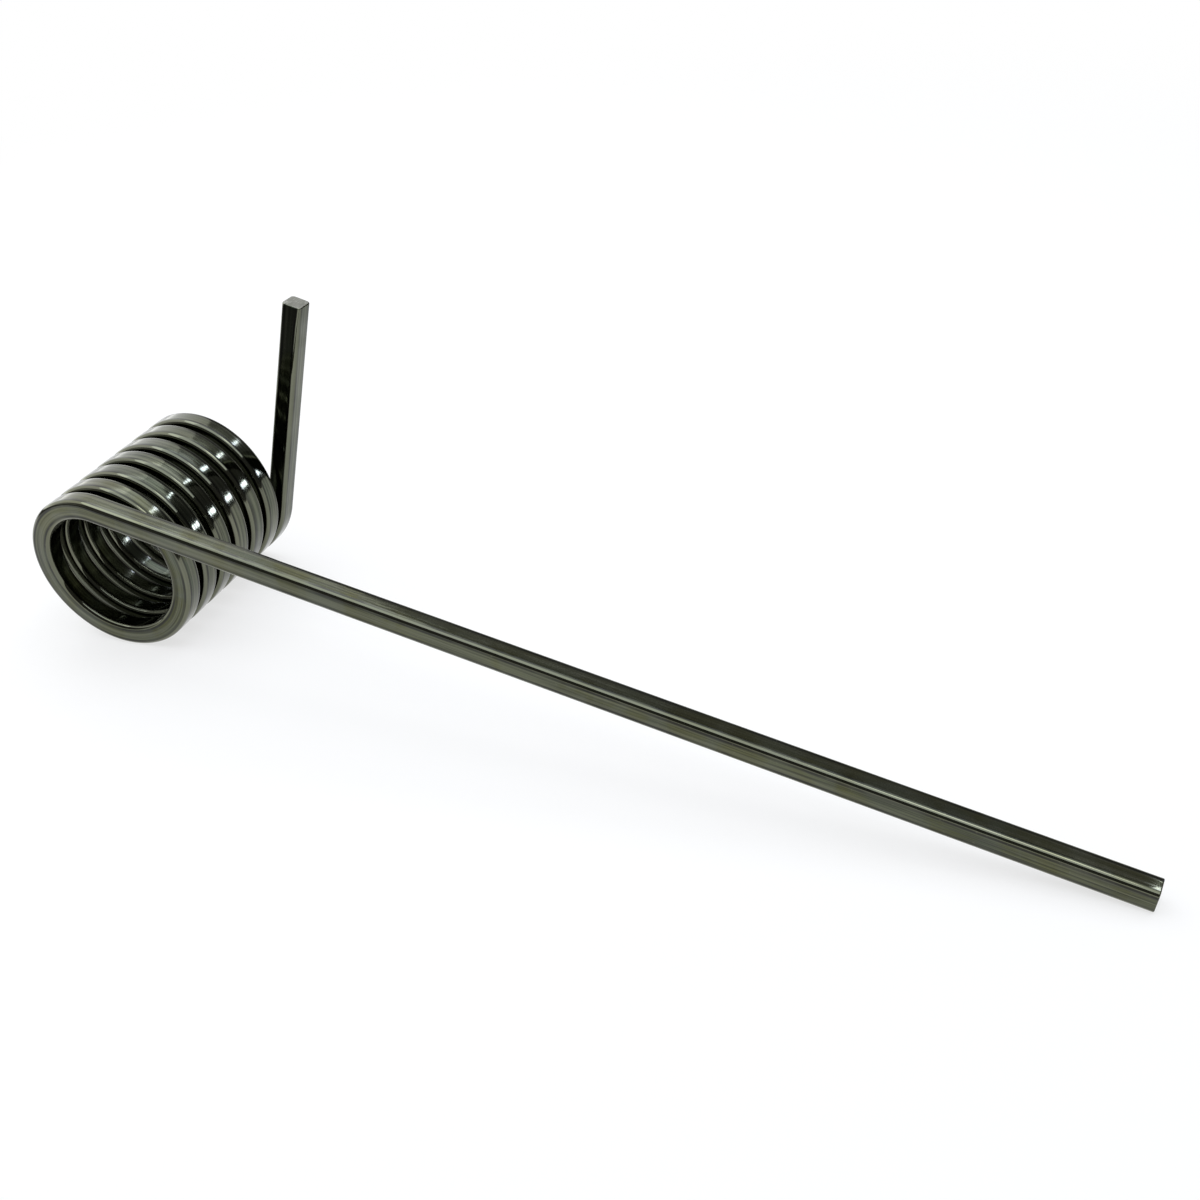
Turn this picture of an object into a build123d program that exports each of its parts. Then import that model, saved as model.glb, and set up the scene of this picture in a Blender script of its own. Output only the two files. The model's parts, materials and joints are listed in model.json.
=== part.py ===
"""Torsion spring: one length of square wire, left-hand wound, with a long leg and a short leg.

Frame: +Z up, the coil's axis along +Y. The origin lies on the coil's axis, level with the middle
of the wire where the long leg runs into the coil. The spring lies as it comes to rest: the coil
on its side, and the tip of the long leg down on the same floor. It is drawn with the coil's axis
along Z and its winding begun on +X, and is turned and laid over once, at the end.
"""
from build123d import *
from math import asin, atan, cos, degrees, hypot, pi, radians, tan
import os

os.makedirs("parts", exist_ok=True)

# ---- driving dimensions (mm, and turns) ----
WIRE = 6.35            # side of the square wire
CORNER_R = 1.27        # rounding along the wire's four long edges
BORE_R = 19.84         # radius inside the coil
BORE_TRIM = 0.02       # depth taken off the inside of the wire to true the bore
PITCH = 8.45           # advance per turn
WOUND_TURNS = 6.73     # turns from the root of the long leg to the root of the short leg
LONG_LEG = 300.0       # length of the long leg, from its root on the coil
SHORT_LEG = 72.5       # length of the short leg, from its root on the coil

# ---- sizes that follow ----
COIL_R = BORE_R - BORE_TRIM + WIRE / 2           # radius of the wire's centre line
COIL_RISE = PITCH * WOUND_TURNS                  # advance of the centre line along the axis
LEAD = degrees(atan(PITCH / (2 * pi * COIL_R)))  # slope of the wire against a flat ring
BORE_CUT = COIL_RISE + 2 * WIRE                  # length of the cutter that trues the bore

# The long leg slopes down until its lower side meets the floor that the coil lies on. Seen along
# the coil's axis, leg_run * sin(a) = outer_r + inner_r * cos(a), for a slope of a.
leg_run = LONG_LEG * cos(radians(LEAD))
inner_r = COIL_R - WIRE / 2
outer_r = COIL_R + WIRE / 2
LEG_SLOPE = degrees(asin(outer_r / hypot(leg_run, inner_r)) + atan(inner_r / leg_run))
REST_TURN = LEG_SLOPE - 90.0                     # angle of the long leg's root about the axis


def wire_end(path, at):
    """Plane across the wire at one end of its path, with x pointing out from the axis."""
    outward = Vector((path @ at).X, (path @ at).Y, 0).normalized()
    return Plane(origin=path @ at, x_dir=outward, z_dir=path % at)


with BuildPart() as torsion_spring:
    # The coil. Its section keeps one side facing the axis all the way round.
    with BuildLine() as winding:
        helix = Helix(pitch=PITCH, height=COIL_RISE, radius=COIL_R, lefthand=True)
    with BuildSketch(wire_end(helix, 0)):
        RectangleRounded(WIRE, WIRE, CORNER_R)
    sweep(path=winding.line, is_frenet=True)

    # The legs run straight on from both ends of the coil.
    with BuildSketch(wire_end(helix, 0)):
        RectangleRounded(WIRE, WIRE, CORNER_R)
    extrude(amount=-LONG_LEG)
    with BuildSketch(wire_end(helix, 1)):
        RectangleRounded(WIRE, WIRE, CORNER_R)
    extrude(amount=SHORT_LEG)

    # The bore, trued round and straight for the rod that the spring turns about.
    with Locations((0, 0, COIL_RISE / 2)):
        Cylinder(radius=BORE_R, height=BORE_CUT, mode=Mode.SUBTRACT)

at_rest = Location((0, 0, 0), (-90, 0, 0)) * Location((0, 0, 0), (0, 0, REST_TURN))
torsion_spring.part = torsion_spring.part.moved(at_rest)
torsion_spring.part.label = "torsion_spring"
export_step(torsion_spring.part, "parts/torsion_spring.step")
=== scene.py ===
"""Dresses the torsion spring: a square steel wire with a dark, oily, drawn finish, on a pale floor.

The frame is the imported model's: metres, +Z up, and the coil's axis along +Y. The wire is followed
by its length from the tip of the long leg, round the coil, to the tip of the short leg.
"""

import json
import logging
import math
from dataclasses import dataclass, field
from enum import Enum
from typing import Iterator

import bpy
from mathutils import Matrix, Vector


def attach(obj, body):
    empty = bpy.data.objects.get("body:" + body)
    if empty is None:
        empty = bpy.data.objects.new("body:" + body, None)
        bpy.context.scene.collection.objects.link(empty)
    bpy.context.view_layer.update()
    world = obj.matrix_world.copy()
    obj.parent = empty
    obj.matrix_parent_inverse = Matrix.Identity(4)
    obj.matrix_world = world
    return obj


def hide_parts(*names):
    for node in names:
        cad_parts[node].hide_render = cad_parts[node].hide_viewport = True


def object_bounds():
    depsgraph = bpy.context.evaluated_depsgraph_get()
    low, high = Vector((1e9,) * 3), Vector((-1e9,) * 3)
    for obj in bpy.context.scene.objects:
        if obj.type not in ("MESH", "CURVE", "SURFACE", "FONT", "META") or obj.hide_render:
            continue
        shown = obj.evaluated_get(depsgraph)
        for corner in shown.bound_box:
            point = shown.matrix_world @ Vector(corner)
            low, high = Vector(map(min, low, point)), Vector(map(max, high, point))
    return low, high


log = logging.getLogger("torsion_spring")
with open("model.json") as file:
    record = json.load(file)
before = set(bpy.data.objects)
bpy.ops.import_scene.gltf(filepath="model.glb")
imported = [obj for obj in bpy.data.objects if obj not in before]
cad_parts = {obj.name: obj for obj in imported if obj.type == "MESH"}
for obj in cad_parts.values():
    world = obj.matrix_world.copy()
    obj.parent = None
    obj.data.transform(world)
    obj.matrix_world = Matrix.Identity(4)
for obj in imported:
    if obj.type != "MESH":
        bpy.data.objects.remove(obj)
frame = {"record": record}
cad_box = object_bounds()

ALONG_WIRE = "along_wire"  # mesh attribute: length along the wire, then place across its section
PLAIN_WHITE = (1.0, 1.0, 1.0)
SOFT_WHITE = (0.95, 1.0, 1.07)
COOL_WHITE = (0.87, 0.93, 1.2)


class Finish(Enum):
    """The two finishes on the wire, by their material slots."""

    DRAWN_SKIN = 0
    CUT_FACE = 1


@dataclass(frozen=True)
class Station:
    """A place on the wire's centre line, and the way the wire is turned there."""

    centre: Vector
    outward: Vector
    across: Vector

    def point(self, out: float, side: float) -> Vector:
        """The point of the section at a height out from the centre line and a distance sideways."""
        return self.centre + self.outward * out + self.across * side


@dataclass(frozen=True)
class WirePath:
    """The line that the wire follows: long leg, coil and short leg, in metres.

    The sizes are those of the solid, and the bore is read from its mount.
    """

    bore_r: float
    wire: float = 0.00635
    trim: float = 0.00002
    pitch: float = 0.00845
    turns: float = 6.73
    long_leg: float = 0.3
    short_leg: float = 0.0725

    @property
    def coil_r(self) -> float:
        """Radius of the wire's centre line."""
        return self.bore_r - self.trim + self.wire / 2

    @property
    def lead(self) -> float:
        """Slope of the wire against a flat ring."""
        return math.atan(self.pitch / (math.tau * self.coil_r))

    @property
    def coil_length(self) -> float:
        """Length of wire in the coil."""
        return math.hypot(self.pitch, math.tau * self.coil_r) * self.turns

    @property
    def length(self) -> float:
        """Length of the whole wire."""
        return self.long_leg + self.coil_length + self.short_leg

    @property
    def second_turn(self) -> float:
        """Length along the wire at which the coil's second turn starts."""
        return self.long_leg + self.coil_length / self.turns

    @property
    def root_angle(self) -> float:
        """Angle about the coil's axis, from +X towards +Z, where the long leg leaves at rest.

        Returns:
            The angle at which the leg's tip and the coil lie on one floor.
        """
        run = self.long_leg * math.cos(self.lead)
        inner, outer = self.coil_r - self.wire / 2, self.coil_r + self.wire / 2
        slope = math.asin(outer / math.hypot(run, inner)) + math.atan(inner / run)
        return math.pi / 2 - slope

    def station(self, s: float) -> Station:
        """Finds the wire's place and turn at a length from the tip of the long leg.

        Args:
            s: length along the wire.

        Returns:
            The station there.
        """
        on_coil = min(max(s - self.long_leg, 0.0), self.coil_length)
        turned = on_coil / self.coil_length * self.turns
        angle = self.root_angle + turned * math.tau
        outward = Vector((math.cos(angle), 0.0, math.sin(angle)))
        flat = Vector((-math.sin(angle), 0.0, math.cos(angle)))
        forward = flat * math.cos(self.lead) + Vector((0.0, math.sin(self.lead), 0.0))
        centre = outward * self.coil_r + Vector((0.0, turned * self.pitch, 0.0))
        past_coil = s - self.long_leg - on_coil
        return Station(centre + forward * past_coil, outward, forward.cross(outward))


@dataclass(frozen=True)
class WireSection:
    """The wire's section: a square with rounded corners and sides that are crowned a hair."""

    side: float
    inner_trim: float
    corner: float = 0.00127
    crown: float = 0.000012
    corner_steps: int = 8
    side_steps: int = 6

    def outline(self, inset: float = 0.0) -> list[tuple[float, float]]:
        """Lists the section's points, once round.

        Args:
            inset: how far the outline is drawn in, as at the rounding of a cut end.

        Returns:
            Points as (out from the coil's axis, sideways).
        """
        half = self.side / 2
        core = half - self.corner
        radius = self.corner - inset
        points: list[tuple[float, float]] = []
        for quarter in range(4):
            start = quarter * math.pi / 2
            ahead = Vector((math.cos(start), math.sin(start)))
            left = Vector((-ahead.y, ahead.x))
            for i in range(1, self.side_steps):
                along = -core + 2 * core * i / self.side_steps
                low = self.crown * (along / core) ** 2
                points.append(tuple(ahead * (half - inset - low) + left * along))
            for i in range(self.corner_steps + 1):
                angle = start + i / self.corner_steps * math.pi / 2
                low = self.crown * abs(math.cos(2 * (angle - start)))
                reach = Vector((math.cos(angle), math.sin(angle))) * (radius - low)
                points.append(tuple((ahead + left) * core + reach))
        floor = -(half - self.inner_trim - inset)
        return [(max(out, floor), side) for out, side in points]


@dataclass(frozen=True)
class LineSet:
    """A set of lengthwise lines: how many to a metre across the wire, and along it."""

    fineness: float
    run: float


@dataclass(frozen=True)
class Skin:
    """The wire's drawn, oil-darkened surface.

    Drawing lines run along the wire, over broad ripples and with a few long scores. An uneven film
    of oil over the dark oxide shifts its colour between olive and grey, most on the wound turns, and
    its gloss from place to place. The corners are worn smoother and paler, with a painted highlight
    along them, and beside them lies a painted dark line: painted shade for the shaded gaps between
    turns and the dark reflection along the corners. Shares say how far a colour covers what is under
    it. The places of the worn, highlighted edge and of the painted dark line are in corner radii,
    from where a flat meets a corner.
    """

    olive: tuple[float, float, float] = (0.07, 0.073, 0.028)
    grey: tuple[float, float, float] = (0.056, 0.073, 0.063)
    pale: tuple[float, float, float] = (0.128, 0.13, 0.065)
    # paler colour of the worn scores, flecks and corners; on the corners also a painted highlight
    rubbed_and_highlight: tuple[float, float, float] = (0.175, 0.18, 0.13)
    # dark colour of the drawing lines, and of the painted shade beside the corners
    residue_and_shade: tuple[float, float, float] = (0.02, 0.021, 0.017)
    lines: LineSet = LineSet(fineness=1900.0, run=40.0)
    scores: LineSet = LineSet(fineness=1100.0, run=9.0)
    ripples: LineSet = LineSet(fineness=330.0, run=75.0)
    line_share: float = 0.7
    score_share: float = 0.45
    film_size: float = 0.011
    film_share: float = 0.6
    wound_share: float = 0.75
    wound_fade: float = 0.05
    pale_patch_size: float = 0.045
    pale_patch_start: float = 0.06
    pale_patch_share: float = 0.4
    fleck_share: float = 0.25
    edge_start: float = 0.05
    edge_full: float = 0.4
    edge_share: float = 0.5
    border_places: tuple[float, float, float, float] = (-0.5, -0.2, 0.08, 0.3)
    border_ripple: tuple[float, float] = (0.4, 0.6)
    border_share: tuple[float, float] = (0.55, 0.95)
    gloss_low: float = 0.07
    gloss_high: float = 0.15
    film_gloss: float = 0.04
    corner_gloss: float = 0.6
    oil_low: float = 0.2
    oil_high: float = 0.4
    oil_gloss: float = 0.07
    ripple_depth: float = 0.00005
    line_depth: float = 0.000006
    line_strength: float = 0.6


@dataclass(frozen=True)
class CutFace:
    """The face of a cut end: clean steel, with straight marks left by the shear."""

    dark: tuple[float, float, float] = (0.4, 0.4, 0.35)
    pale: tuple[float, float, float] = (0.72, 0.72, 0.66)
    marks: LineSet = LineSet(fineness=2600.0, run=300.0)
    film_size: float = 0.003
    gloss: float = 0.34
    mark_depth: float = 0.00002
    mark_strength: float = 0.7


class Nodes:
    """A node tree under construction: it adds nodes and links them by socket name."""

    MIX_INPUTS = (0, 6, 7)  # amount, first colour and second colour
    MIX_OUTPUT = 2  # the mixed colour

    def __init__(self, tree: bpy.types.NodeTree) -> None:
        """Takes the tree to build in."""
        self.tree = tree

    def add(self, kind: str, **settings: object) -> bpy.types.Node:
        """Adds a node and sets its properties.

        Args:
            kind: the node's type name.
            settings: property names and values.

        Returns:
            The new node.
        """
        node = self.tree.nodes.new(kind)
        for name, value in settings.items():
            setattr(node, name, value)
        return node

    def link(self, out: bpy.types.NodeSocket, into: bpy.types.NodeSocket) -> None:
        """Joins two sockets."""
        self.tree.links.new(out, into)

    def feed(self, node: bpy.types.Node, socket: str | int, value: object) -> None:
        """Gives an input a link, if the value is a socket, or else a constant.

        Args:
            node: the node whose input it is.
            socket: the input's name or number.
            value: an output socket or a constant.
        """
        if isinstance(value, bpy.types.NodeSocket):
            self.link(value, node.inputs[socket])
        else:
            node.inputs[socket].default_value = value

    def maths(self, operation: str, first: object, second: object = 0.0) -> bpy.types.NodeSocket:
        """Adds a maths node.

        Args:
            operation: the node's operation.
            first: its first value.
            second: its second value, where it has one.

        Returns:
            Its output.
        """
        node = self.add("ShaderNodeMath", operation=operation)
        self.feed(node, 0, first)
        self.feed(node, 1, second)
        return node.outputs[0]

    def spread(
        self, value: object, low: float, high: float, to_low: object = 0.0, to_high: object = 1.0
    ) -> bpy.types.NodeSocket:
        """Maps a value from one range to another, smoothly and held at both ends.

        Args:
            value: what is mapped.
            low: the input that gives to_low.
            high: the input that gives to_high.
            to_low: the output at low.
            to_high: the output at high.

        Returns:
            The mapped value.
        """
        node = self.add("ShaderNodeMapRange", interpolation_type="SMOOTHSTEP")
        for socket, given in zip(range(5), (value, low, high, to_low, to_high)):
            self.feed(node, socket, given)
        return node.outputs[0]

    def blend(self, amount: object, first: object, second: object) -> bpy.types.NodeSocket:
        """Mixes two colours.

        Args:
            amount: the second colour's share.
            first: the colour at 0.
            second: the colour at 1.

        Returns:
            The mixed colour.
        """
        node = self.add("ShaderNodeMix", data_type="RGBA")
        for socket, given in zip(self.MIX_INPUTS, (amount, first, second)):
            self.feed(node, socket, given)
        return node.outputs[self.MIX_OUTPUT]

    def bump(self, height: object, depth: float, strength: float) -> bpy.types.Node:
        """Adds a relief.

        Args:
            height: the height, from 0 to 1.
            depth: what a height of 1 is, in metres.
            strength: how much of it shows.

        Returns:
            The bump node.
        """
        node = self.add("ShaderNodeBump")
        self.feed(node, "Strength", strength)
        self.feed(node, "Distance", depth)
        self.feed(node, "Height", height)
        return node


def rgba(colour: tuple[float, float, float]) -> tuple[float, float, float, float]:
    """A colour with full alpha."""
    return (*colour, 1.0)


def grey_tone(level: float) -> tuple[float, float, float, float]:
    """A grey of one level, with full alpha."""
    return (level, level, level, 1.0)


class LengthwiseLines:
    """The node group of fine lines that run along the wire, used by every finish on it."""

    NAME = "lengthwise_lines"
    DETAIL = 3.0
    BREAK_UP = 0.55
    MASK_RANGE = (0.38, 0.66)

    @classmethod
    def tree(cls) -> bpy.types.NodeTree:
        """Builds the group once, and gives the same one after that.

        Returns:
            The group, with inputs Place, Fineness and Run and outputs Mask and Height.
        """
        made = bpy.data.node_groups.get(cls.NAME)
        if made:
            return made
        group = bpy.data.node_groups.new(cls.NAME, "ShaderNodeTree")
        sockets = group.interface
        sockets.new_socket("Place", in_out="INPUT", socket_type="NodeSocketVector")
        sockets.new_socket("Fineness", in_out="INPUT", socket_type="NodeSocketFloat")
        sockets.new_socket("Run", in_out="INPUT", socket_type="NodeSocketFloat")
        sockets.new_socket("Mask", in_out="OUTPUT", socket_type="NodeSocketFloat")
        sockets.new_socket("Height", in_out="OUTPUT", socket_type="NodeSocketFloat")
        build = Nodes(group)
        inside, outside = build.add("NodeGroupInput"), build.add("NodeGroupOutput")
        scale = build.add("ShaderNodeCombineXYZ")
        build.feed(scale, 0, inside.outputs["Run"])
        build.feed(scale, 1, inside.outputs["Fineness"])
        build.feed(scale, 2, inside.outputs["Fineness"])
        drawn = build.add("ShaderNodeVectorMath", operation="MULTIPLY")
        build.feed(drawn, 0, inside.outputs["Place"])
        build.feed(drawn, 1, scale.outputs[0])
        lines = build.add("ShaderNodeTexNoise")
        build.feed(lines, "Vector", drawn.outputs[0])
        build.feed(lines, "Scale", 1.0)
        build.feed(lines, "Detail", cls.DETAIL)
        build.feed(lines, "Roughness", cls.BREAK_UP)
        mask = build.spread(lines.outputs[0], *cls.MASK_RANGE)
        build.link(mask, outside.inputs["Mask"])
        build.link(lines.outputs[0], outside.inputs["Height"])
        return group


class OilFilm:
    """The node group of uneven, blotchy film, used by every finish on the wire."""

    NAME = "oil_film"
    BLOTCH_DETAIL = 4.0
    BLOTCH_BEND = 0.6
    BLOTCH_RANGE = (0.36, 0.64)
    FLECKS_TO_BLOTCH = 14.0
    FLECK_DETAIL = 2.0
    FLECK_RANGE = (0.64, 0.74)

    @classmethod
    def tree(cls) -> bpy.types.NodeTree:
        """Builds the group once, and gives the same one after that.

        Returns:
            The group, with inputs Place and Size and outputs Blotch and Fleck.
        """
        made = bpy.data.node_groups.get(cls.NAME)
        if made:
            return made
        group = bpy.data.node_groups.new(cls.NAME, "ShaderNodeTree")
        sockets = group.interface
        sockets.new_socket("Place", in_out="INPUT", socket_type="NodeSocketVector")
        sockets.new_socket("Size", in_out="INPUT", socket_type="NodeSocketFloat")
        sockets.new_socket("Blotch", in_out="OUTPUT", socket_type="NodeSocketFloat")
        sockets.new_socket("Fleck", in_out="OUTPUT", socket_type="NodeSocketFloat")
        build = Nodes(group)
        inside, outside = build.add("NodeGroupInput"), build.add("NodeGroupOutput")
        per_metre = build.maths("DIVIDE", 1.0, inside.outputs["Size"])
        blotch = build.add("ShaderNodeTexNoise")
        build.feed(blotch, "Vector", inside.outputs["Place"])
        build.feed(blotch, "Scale", per_metre)
        build.feed(blotch, "Detail", cls.BLOTCH_DETAIL)
        build.feed(blotch, "Distortion", cls.BLOTCH_BEND)
        build.link(build.spread(blotch.outputs[0], *cls.BLOTCH_RANGE), outside.inputs["Blotch"])
        fleck = build.add("ShaderNodeTexNoise")
        build.feed(fleck, "Vector", inside.outputs["Place"])
        build.feed(fleck, "Scale", build.maths("MULTIPLY", per_metre, cls.FLECKS_TO_BLOTCH))
        build.feed(fleck, "Detail", cls.FLECK_DETAIL)
        build.link(build.spread(fleck.outputs[0], *cls.FLECK_RANGE), outside.inputs["Fleck"])
        return group


@dataclass
class FinishShop:
    """Makes the wire's materials, for a wire of a given side, corner radius and first turn."""

    wire: float
    corner: float
    second_turn: float
    skin: Skin = field(default_factory=Skin)
    cut: CutFace = field(default_factory=CutFace)

    @property
    def core(self) -> float:
        """Distance from the section's middle line to where a flat meets a corner."""
        return self.wire / 2 - self.corner

    def blank(self, name: str) -> tuple[bpy.types.Material, Nodes, bpy.types.Node]:
        """Starts a material.

        Args:
            name: the material's name.

        Returns:
            The material, its tree under construction and its surface shader.
        """
        material = bpy.data.materials.new(name)
        material.use_nodes = True
        build = Nodes(material.node_tree)
        return material, build, material.node_tree.nodes["Principled BSDF"]

    def place(self, build: Nodes) -> bpy.types.NodeSocket:
        """Reads the place along and across the wire."""
        return build.add("ShaderNodeAttribute", attribute_name=ALONG_WIRE).outputs["Vector"]

    def parts(self, build: Nodes, place: bpy.types.NodeSocket) -> bpy.types.NodeOutputs:
        """Splits a place into its length along the wire, its distance out and its distance sideways.

        Args:
            build: the tree to build in.
            place: the place along and across the wire.

        Returns:
            The three outputs, in that order.
        """
        node = build.add("ShaderNodeSeparateXYZ")
        build.link(place, node.inputs[0])
        return node.outputs

    def lines(self, build: Nodes, place: bpy.types.NodeSocket, which: LineSet) -> bpy.types.Node:
        """Puts a set of lengthwise lines in a material.

        Args:
            build: the tree to build in.
            place: the place along and across the wire.
            which: the set of lines.

        Returns:
            The group's node, with outputs Mask and Height.
        """
        node = build.add("ShaderNodeGroup", node_tree=LengthwiseLines.tree())
        build.feed(node, "Place", place)
        build.feed(node, "Fineness", which.fineness)
        build.feed(node, "Run", which.run)
        return node

    def film(self, build: Nodes, place: bpy.types.NodeSocket, size: float) -> bpy.types.Node:
        """Puts a film of oil in a material.

        Args:
            build: the tree to build in.
            place: the place along and across the wire.
            size: the size of its blotches, in metres.

        Returns:
            The group's node, with outputs Blotch and Fleck.
        """
        node = build.add("ShaderNodeGroup", node_tree=OilFilm.tree())
        build.feed(node, "Place", place)
        build.feed(node, "Size", size)
        return node

    def shifted(self, build: Nodes, place: bpy.types.NodeSocket, by: float) -> bpy.types.NodeSocket:
        """Moves a place along the wire, so that another part of a pattern falls there.

        Args:
            build: the tree to build in.
            place: the place along and across the wire.
            by: how far along the wire.

        Returns:
            The moved place.
        """
        moved = build.add("ShaderNodeVectorMath", operation="ADD")
        build.link(place, moved.inputs[0])
        moved.inputs[1].default_value = (by, 0.0, 0.0)
        return moved.outputs[0]

    def off_middle(self, build: Nodes, place: bpy.types.NodeSocket) -> bpy.types.NodeSocket:
        """The distance off the nearer of the section's two middle lines, largest in its corners."""
        _, out, side = self.parts(build, place)
        return build.maths("MINIMUM", build.maths("ABSOLUTE", out), build.maths("ABSOLUTE", side))

    def from_corner(self, radii: float) -> float:
        """A distance off the middle line, from one in corner radii past the end of a flat."""
        return self.core + radii * self.corner

    def rubbed_edge_and_highlight(self, build: Nodes, depth: bpy.types.NodeSocket) -> bpy.types.NodeSocket:
        """Masks the worn corners and their painted highlight, from the distance off the middle lines."""
        look = self.skin
        return build.spread(depth, self.from_corner(look.edge_start), self.from_corner(look.edge_full))

    def painted_shade_border(
        self, build: Nodes, depth: bpy.types.NodeSocket, height: bpy.types.NodeSocket
    ) -> bpy.types.NodeSocket:
        """Masks the painted shade beside the corners: a dark line for the shaded gaps and dark reflection.

        Args:
            build: the tree to build in.
            depth: the distance off the middle lines.
            height: the ripples' height, by which the painted shade is thicker or thinner.

        Returns:
            The mask.
        """
        look = self.skin
        start, full, last, end = (self.from_corner(radii) for radii in look.border_places)
        band = build.maths("MULTIPLY", build.spread(depth, start, full), build.spread(depth, end, last))
        return build.maths("MULTIPLY", band, build.spread(height, *look.border_ripple, *look.border_share))

    def ground_colour(
        self, build: Nodes, place: bpy.types.NodeSocket, film: bpy.types.Node
    ) -> bpy.types.NodeSocket:
        """Colours the oxide under its film.

        Args:
            build: the tree to build in.
            place: the place along and across the wire.
            film: the film's node.

        Returns:
            The colour, before lines and wear.
        """
        look = self.skin
        along, _, _ = self.parts(build, place)
        start = self.second_turn
        wound = build.spread(along, start, start + look.wound_fade, 0.0, look.wound_share)
        blotch = build.maths("MULTIPLY", film.outputs["Blotch"], look.film_share)
        tinted = build.blend(build.maths("MAXIMUM", blotch, wound), rgba(look.olive), rgba(look.grey))
        # a larger blotch pattern in the pale colour, shifted along the wire so that a blotch falls on the
        # left of the front ring
        pale_patch = self.film(build, self.shifted(build, place, look.pale_patch_start), look.pale_patch_size)
        share = build.maths("MULTIPLY", pale_patch.outputs["Blotch"], look.pale_patch_share)
        return build.blend(share, tinted, rgba(look.pale))

    def drawn_skin(self) -> bpy.types.Material:
        """Makes the finish of the wire's sides.

        Returns:
            The material.
        """
        look = self.skin
        material, build, shader = self.blank("drawn_skin")
        place = self.place(build)
        lines = self.lines(build, place, look.lines)
        scores = self.lines(build, place, look.scores)
        ripples = self.lines(build, place, look.ripples)
        film = self.film(build, place, look.film_size)
        depth = self.off_middle(build, place)
        edge = self.rubbed_edge_and_highlight(build, depth)

        colour = self.ground_colour(build, place, film)
        layers = (
            (build.maths("MULTIPLY", lines.outputs["Mask"], look.line_share), look.residue_and_shade),
            (build.maths("MULTIPLY", scores.outputs["Mask"], look.score_share), look.rubbed_and_highlight),
            # worn corners, paler, with a painted highlight along them
            (build.maths("MULTIPLY", edge, look.edge_share), look.rubbed_and_highlight),
            # painted shade: a dark line beside the corners, for the shaded gaps and the dark reflection
            (self.painted_shade_border(build, depth, ripples.outputs["Height"]), look.residue_and_shade),
            (build.maths("MULTIPLY", film.outputs["Fleck"], look.fleck_share), look.rubbed_and_highlight),
        )
        for share, over in layers:
            colour = build.blend(share, colour, rgba(over))
        build.feed(shader, "Base Color", colour)
        build.feed(shader, "Metallic", 1.0)

        rough = build.spread(lines.outputs["Mask"], 0.0, 1.0, look.gloss_low, look.gloss_high)
        filmed = build.maths("MULTIPLY", film.outputs["Blotch"], look.film_gloss)
        polished = build.spread(edge, 0.0, 1.0, 1.0, look.corner_gloss)
        build.feed(shader, "Roughness", build.maths("MULTIPLY", build.maths("ADD", rough, filmed), polished))
        oil = build.spread(film.outputs["Blotch"], 0.0, 1.0, look.oil_low, look.oil_high)
        build.feed(shader, "Coat Weight", oil)
        build.feed(shader, "Coat Roughness", look.oil_gloss)

        broad = build.bump(ripples.outputs["Height"], look.ripple_depth, 1.0)
        fine = build.bump(lines.outputs["Height"], look.line_depth, look.line_strength)
        build.link(broad.outputs[0], fine.inputs["Normal"])
        build.feed(shader, "Normal", fine.outputs[0])
        return material

    def cut_face(self) -> bpy.types.Material:
        """Makes the finish of the wire's two cut ends.

        Returns:
            The material.
        """
        look = self.cut
        material, build, shader = self.blank("cut_face")
        place = self.place(build)
        _, out, side = self.parts(build, place)
        sheared = build.add("ShaderNodeCombineXYZ")
        build.link(side, sheared.inputs[0])
        build.link(out, sheared.inputs[1])
        marks = self.lines(build, sheared.outputs[0], look.marks)
        film = self.film(build, place, look.film_size)
        tone = build.blend(marks.outputs["Mask"], rgba(look.dark), rgba(look.pale))
        build.feed(shader, "Base Color", build.blend(film.outputs["Blotch"], tone, rgba(look.dark)))
        build.feed(shader, "Roughness", look.gloss)
        build.feed(shader, "Metallic", 1.0)
        relief = build.bump(marks.outputs["Height"], look.mark_depth, look.mark_strength)
        build.feed(shader, "Normal", relief.outputs[0])
        return material


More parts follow.
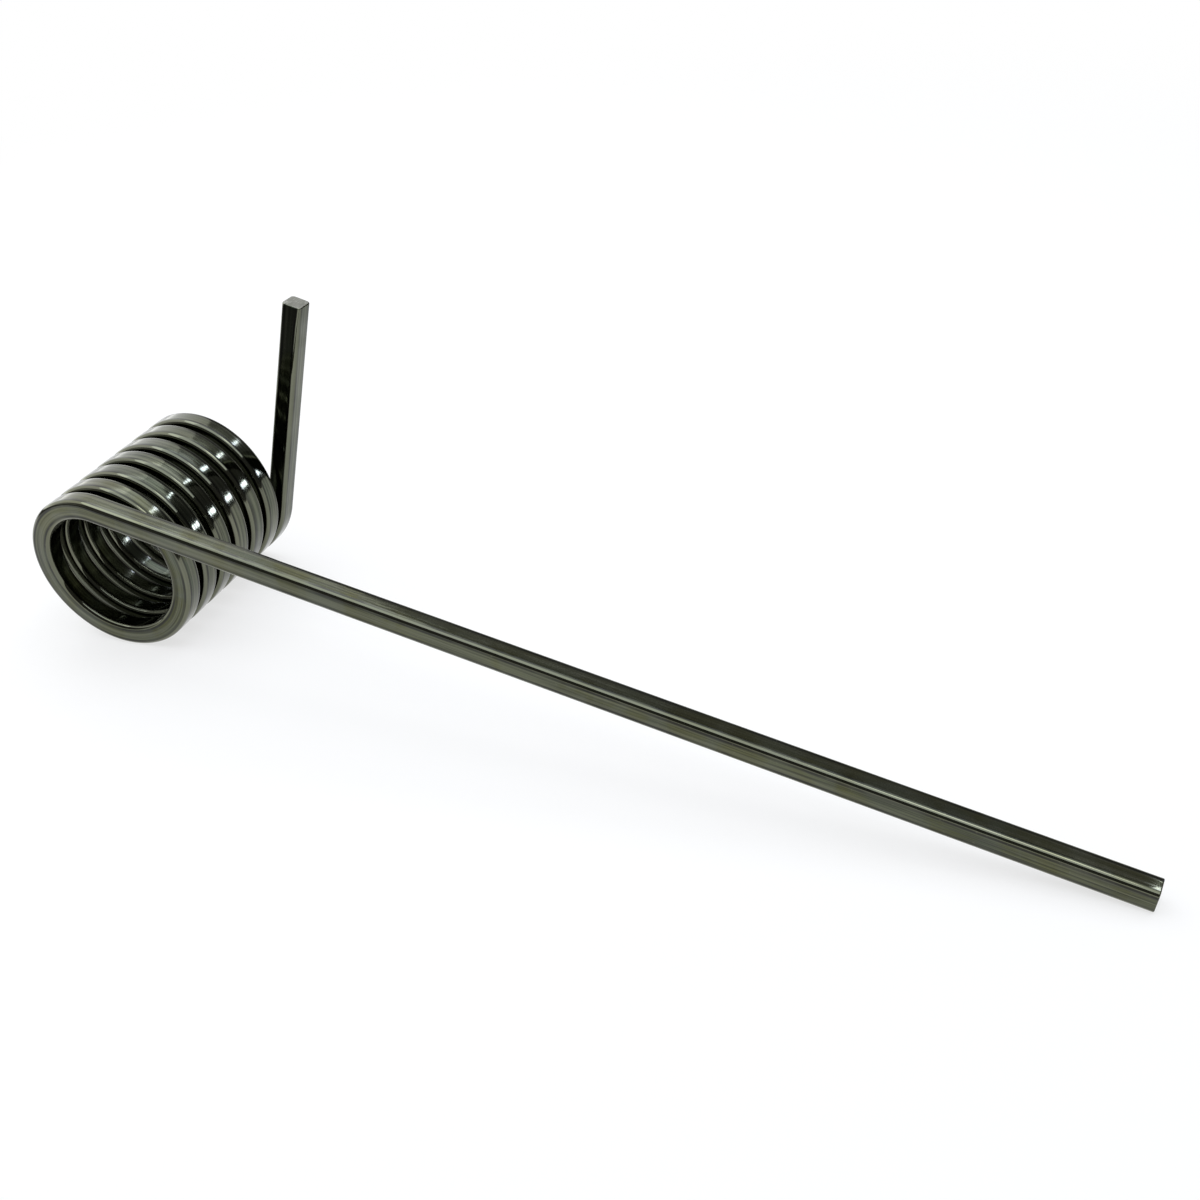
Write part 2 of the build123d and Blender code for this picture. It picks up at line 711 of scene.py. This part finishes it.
@dataclass
class SpringWire:
    """The spring itself: one wire, drawn round its path and closed at both cut ends."""

    path: WirePath
    section: WireSection
    leg_step: float = 0.006
    steps_per_turn: int = 150
    end_round: float = 0.0003
    end_steps: int = 4
    last_inset: float = 1.35

    def lengths(self) -> Iterator[float]:
        """Gives the lengths along the wire where its section is drawn, past the rounded ends.

        Returns:
            The lengths, from the long leg's tip to the short leg's.
        """
        path = self.path
        coil_steps = round(path.turns * self.steps_per_turn)
        first = max(2, round(path.long_leg / self.leg_step))
        last = max(2, round(path.short_leg / self.leg_step))
        for i in range(first):
            yield self.end_round + (path.long_leg - self.end_round) * i / first
        for i in range(coil_steps):
            yield path.long_leg + path.coil_length * i / coil_steps
        for i in range(last + 1):
            start = path.long_leg + path.coil_length
            yield start + (path.short_leg - self.end_round) * i / last

    def rings(self) -> Iterator[tuple[float, float]]:
        """Gives each ring of the mesh, from tip to tip.

        Returns:
            Each ring's length along the wire and its inset.
        """
        rounding = [
            (self.end_round * (1 - math.cos(turn)), self.end_round * (1 - math.sin(turn)))
            for turn in (i / self.end_steps * math.pi / 2 for i in range(self.end_steps))
        ]
        yield 0.0, self.end_round * self.last_inset
        yield from rounding
        yield from ((s, 0.0) for s in self.lengths())
        yield from ((self.path.length - s, inset) for s, inset in reversed(rounding))
        yield self.path.length, self.end_round * self.last_inset

    def build(self) -> bpy.types.Object:
        """Makes the wire's mesh, with its place along the wire stored at each point.

        Returns:
            The wire's object, in the scene.
        """
        places: list[tuple[float, float, float]] = []
        points: list[Vector] = []
        faces: list[tuple[int, ...]] = []
        around = len(self.section.outline())
        for ring, (s, inset) in enumerate(self.rings()):
            station = self.path.station(s)
            for out, side in self.section.outline(inset):
                points.append(station.point(out, side))
                places.append((s, out, side))
            if ring:
                low, high = (ring - 1) * around, ring * around
                for i in range(around):
                    j = (i + 1) % around
                    faces.append((low + i, low + j, high + j, high + i))
        last = len(points) - around
        faces.append(tuple(reversed(range(around))))
        faces.append(tuple(range(last, last + around)))
        mesh = bpy.data.meshes.new("spring_wire")
        mesh.from_pydata(points, [], faces)
        stored = mesh.attributes.new(ALONG_WIRE, "FLOAT_VECTOR", "POINT")
        stored.data.foreach_set("vector", [value for place in places for value in place])
        mesh.shade_smooth()
        mesh.update()
        wire = bpy.data.objects.new("spring_wire", mesh)
        bpy.context.scene.collection.objects.link(wire)
        return wire

    def dress(self, wire: bpy.types.Object, shop: FinishShop) -> None:
        """Gives the wire its two finishes.

        Args:
            wire: the wire's object.
            shop: where the finishes are made.
        """
        makers = {Finish.DRAWN_SKIN: shop.drawn_skin, Finish.CUT_FACE: shop.cut_face}
        for finish in Finish:
            wire.data.materials.append(makers[finish]())
        around = len(self.section.outline())
        for face in wire.data.polygons:
            at_tip = face.index < around or face.index >= len(wire.data.polygons) - 2 - around
            if at_tip:
                face.material_index = Finish.CUT_FACE.value


@dataclass(frozen=True)
class SoftBox:
    """An oblong lamp that faces the spring.

    Its place is given by its azimuth, clockwise from the way that the coil's axis runs, its
    elevation and its distance from the middle of the spring.
    """

    name: str
    azimuth: float
    elevation: float
    distance: float
    width: float
    height: float
    radiance: float
    colour: tuple[float, float, float] = PLAIN_WHITE

    def hang(self, middle: Vector) -> None:
        """Hangs the lamp round a point, facing it.

        Args:
            middle: the point.
        """
        data = bpy.data.lights.new(self.name, "AREA")
        data.shape, data.size, data.size_y = "RECTANGLE", self.width, self.height
        data.energy = self.radiance * math.pi * self.width * self.height
        data.color = self.colour
        lamp = bpy.data.objects.new(self.name, data)
        away = direction(self.azimuth, self.elevation)
        lamp.location = middle + away * self.distance
        lamp.rotation_mode = "QUATERNION"
        lamp.rotation_quaternion = away.to_track_quat("Z", "Y")
        lamp.visible_camera = False
        bpy.context.scene.collection.objects.link(lamp)


def direction(azimuth: float, elevation: float) -> Vector:
    """Points from the spring at an azimuth, clockwise from +Y, and an elevation, in degrees."""
    turn, rise = math.radians(azimuth), math.radians(elevation)
    return Vector((math.sin(turn) * math.cos(rise), math.cos(turn) * math.cos(rise), math.sin(rise)))


@dataclass
class Studio:
    """The pale floor, the plain soft lamps and the room round the spring.

    The floor is a white sheet that ends in front of the spring, along a line across the sheet's
    azimuth. The room has a pale wall, which dims away from the wall's azimuth, and a white backdrop
    low on that side. Ranges on the wall are in cosines off its azimuth, and heights on it in sines.
    """

    floor_z: float
    middle: Vector
    floor_colour: tuple[float, float, float] = (0.93, 0.93, 0.93)
    floor_r: float = 4.0
    floor_rim: int = 96
    floor_matt: float = 0.9
    sheet_azimuth: float = 28.0
    sheet_front: float = -0.1
    sheet_fade: float = 0.06
    beyond_sheet: float = 0.1
    shadow_reach: tuple[float, float] = (0.25, 0.7)
    shadow_lift: float = 0.7
    wall_azimuth: float = -50.0
    wall_tone: float = 0.27
    wall_range: tuple[float, float] = (-0.1, 0.35)
    room_tone: float = 0.08
    backdrop_range: tuple[float, float] = (-0.1, 0.5)
    backdrop_height: tuple[float, float] = (0.14, 0.02)
    fill: float = 0.18
    lamps: tuple[SoftBox, ...] = (
        SoftBox("overhead_box", 0.0, 86.0, 1.0, width=1.9, height=1.54, radiance=1.6, colour=SOFT_WHITE),
        SoftBox("top_lamp", 60.0, 74.0, 1.0, width=0.3, height=0.3, radiance=3.0),
        SoftBox("left_box", -76.0, 28.0, 0.7, width=1.0, height=0.8, radiance=1.05),
        SoftBox("low_glint", 44.0, 9.0, 1.2, width=0.13, height=0.12, radiance=18.0, colour=COOL_WHITE),
        SoftBox("high_glint", 27.0, 42.0, 20.0, width=1.4, height=1.5, radiance=16.0, colour=COOL_WHITE),
    )

    def lay_floor(self) -> None:
        """Lays a wide round floor under the spring."""
        mesh = bpy.data.meshes.new("floor")
        turns = [math.tau * i / self.floor_rim for i in range(self.floor_rim)]
        points = [(self.floor_r * math.cos(turn), self.floor_r * math.sin(turn), 0.0) for turn in turns]
        mesh.from_pydata(points, [], [tuple(range(self.floor_rim))])
        floor = bpy.data.objects.new("floor", mesh)
        floor.location = (self.middle.x, self.middle.y, self.floor_z)
        bpy.context.scene.collection.objects.link(floor)
        mesh.materials.append(self.pale_floor())

    def pale_floor(self) -> bpy.types.Material:
        """Makes the floor's material: a lit sheet of matt paper, lifted to white where it is seen.

        Returns:
            The material.
        """
        material = bpy.data.materials.new("pale_floor")
        material.use_nodes = True
        build = Nodes(material.node_tree)
        where = build.add("ShaderNodeNewGeometry").outputs["Position"]
        inward = build.add("ShaderNodeVectorMath", operation="DOT_PRODUCT")
        build.link(where, inward.inputs[0])
        inward.inputs[1].default_value = direction(self.sheet_azimuth, 0.0)
        front = self.sheet_front
        sheet = build.spread(inward.outputs["Value"], front - self.sheet_fade, front, self.beyond_sheet, 1.0)
        camera = build.add("ShaderNodeLightPath").outputs["Is Camera Ray"]
        tone = build.maths("MAXIMUM", camera, sheet)
        off = build.add("ShaderNodeVectorMath", operation="DISTANCE")
        build.link(where, off.inputs[0])
        off.inputs[1].default_value = (self.middle.x, self.middle.y, self.floor_z)
        share = build.spread(off.outputs["Value"], *self.shadow_reach, self.shadow_lift, 1.0)
        paper = material.node_tree.nodes["Principled BSDF"]
        build.feed(paper, "Base Color", build.blend(tone, grey_tone(0.0), rgba(self.floor_colour)))
        build.feed(paper, "Roughness", self.floor_matt)
        build.feed(paper, "Specular IOR Level", 0.0)
        white = build.add("ShaderNodeEmission")
        build.feed(white, "Color", build.blend(tone, grey_tone(0.0), grey_tone(1.0)))
        mixed = build.add("ShaderNodeMixShader")
        build.feed(mixed, 0, build.maths("MULTIPLY", self.seen(build), share))
        build.link(paper.outputs[0], mixed.inputs[1])
        build.link(white.outputs[0], mixed.inputs[2])
        build.link(mixed.outputs[0], material.node_tree.nodes["Material Output"].inputs["Surface"])
        return material

    def seen(self, build: Nodes) -> bpy.types.NodeSocket:
        """Tells what is seen, directly or in the metal, from light that falls on matt things.

        Args:
            build: the tree to build in.

        Returns:
            1 for what is seen and 0 for the rest.
        """
        ray = build.add("ShaderNodeLightPath").outputs
        either = build.maths("MAXIMUM", ray["Is Camera Ray"], ray["Is Glossy Ray"])
        return build.maths("MAXIMUM", either, ray["Is Transmission Ray"])

    def light_room(self) -> None:
        """Makes the room: white behind the spring, a pale wall that dims towards the front, soft fill."""
        world = bpy.data.worlds.new("room")
        bpy.context.scene.world = world
        world.use_nodes = True
        build = Nodes(world.node_tree)
        way = build.add("ShaderNodeTexCoord").outputs["Generated"]
        parts = build.add("ShaderNodeSeparateXYZ")
        build.link(way, parts.inputs[0])
        towards = build.add("ShaderNodeVectorMath", operation="DOT_PRODUCT")
        build.link(way, towards.inputs[0])
        towards.inputs[1].default_value = direction(self.wall_azimuth, 0.0)
        facing = towards.outputs["Value"]
        wall = build.spread(facing, *self.wall_range, self.room_tone, self.wall_tone)
        low = build.spread(parts.outputs[2], *self.backdrop_height)
        behind = build.spread(facing, *self.backdrop_range, 0.0, 1.0 - self.wall_tone)
        level = build.maths("ADD", wall, build.maths("MULTIPLY", low, behind))
        mirrored = build.blend(level, grey_tone(0.0), grey_tone(1.0))
        plain = build.blend(self.seen(build), grey_tone(self.fill), mirrored)
        camera = build.add("ShaderNodeLightPath").outputs["Is Camera Ray"]
        colour = build.blend(camera, plain, grey_tone(1.0))
        build.link(colour, world.node_tree.nodes["Background"].inputs["Color"])

    def set_up(self) -> None:
        """Lays the floor, hangs the lamps and lights the room."""
        self.lay_floor()
        for box in self.lamps:
            box.hang(self.middle)
        self.light_room()


@dataclass(frozen=True)
class Viewpoint:
    """The camera: where it stands, which way it looks and how wide."""

    eye: tuple[float, float, float] = (0.30362, -0.28451, 0.23209)
    azimuth: float = 26.69
    elevation: float = 33.69
    roll: float = 6.33
    lens: float = 46.16
    sensor: float = 36.0
    clip: tuple[float, float] = (0.01, 50.0)

    def set_up(self) -> None:
        """Makes the camera and gives it to the scene."""
        data = bpy.data.cameras.new("camera")
        data.sensor_width, data.lens = self.sensor, self.lens
        data.clip_start, data.clip_end = self.clip
        camera = bpy.data.objects.new("camera", data)
        turn, rise = math.radians(self.azimuth), math.radians(self.elevation)
        look = Vector((-math.sin(turn) * math.cos(rise), math.cos(turn) * math.cos(rise), -math.sin(rise)))
        facing = look.to_track_quat("-Z", "Y").to_matrix()
        facing = Matrix.Rotation(math.radians(self.roll), 3, look) @ facing
        camera.matrix_world = Matrix.Translation(self.eye) @ facing.to_4x4()
        bpy.context.scene.collection.objects.link(camera)
        bpy.context.scene.camera = camera


def mount_radius(name: str) -> float:
    """Reads a round mount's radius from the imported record, in metres."""
    mounts = frame["record"]["mounts"]
    return next(m["dims"]["r_mm"] for m in mounts if m["name"] == name) / 1000.0


def main() -> None:
    """Builds the spring and the studio, in order."""
    logging.basicConfig(level=logging.INFO, format="%(name)s: %(message)s")
    path = WirePath(bore_r=mount_radius("coil_bore"))
    spring = SpringWire(path, WireSection(side=path.wire, inner_trim=path.trim))
    wire = spring.build()
    spring.dress(wire, FinishShop(path.wire, spring.section.corner, path.second_turn))
    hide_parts("torsion_spring")
    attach(wire, "root")
    log.info("%s: %d faces, %.3f m of wire", wire.name, len(wire.data.polygons), path.length)

    low, high = cad_box
    studio = Studio(floor_z=low.z, middle=(low + high) / 2)
    studio.set_up()
    log.info("studio: floor at %.2f mm, %d lamps", low.z * 1000, len(studio.lamps))

    Viewpoint().set_up()
    bpy.context.scene.view_settings.view_transform = "Standard"
    log.info("camera: set up")


if __name__ == "__main__":
    main()
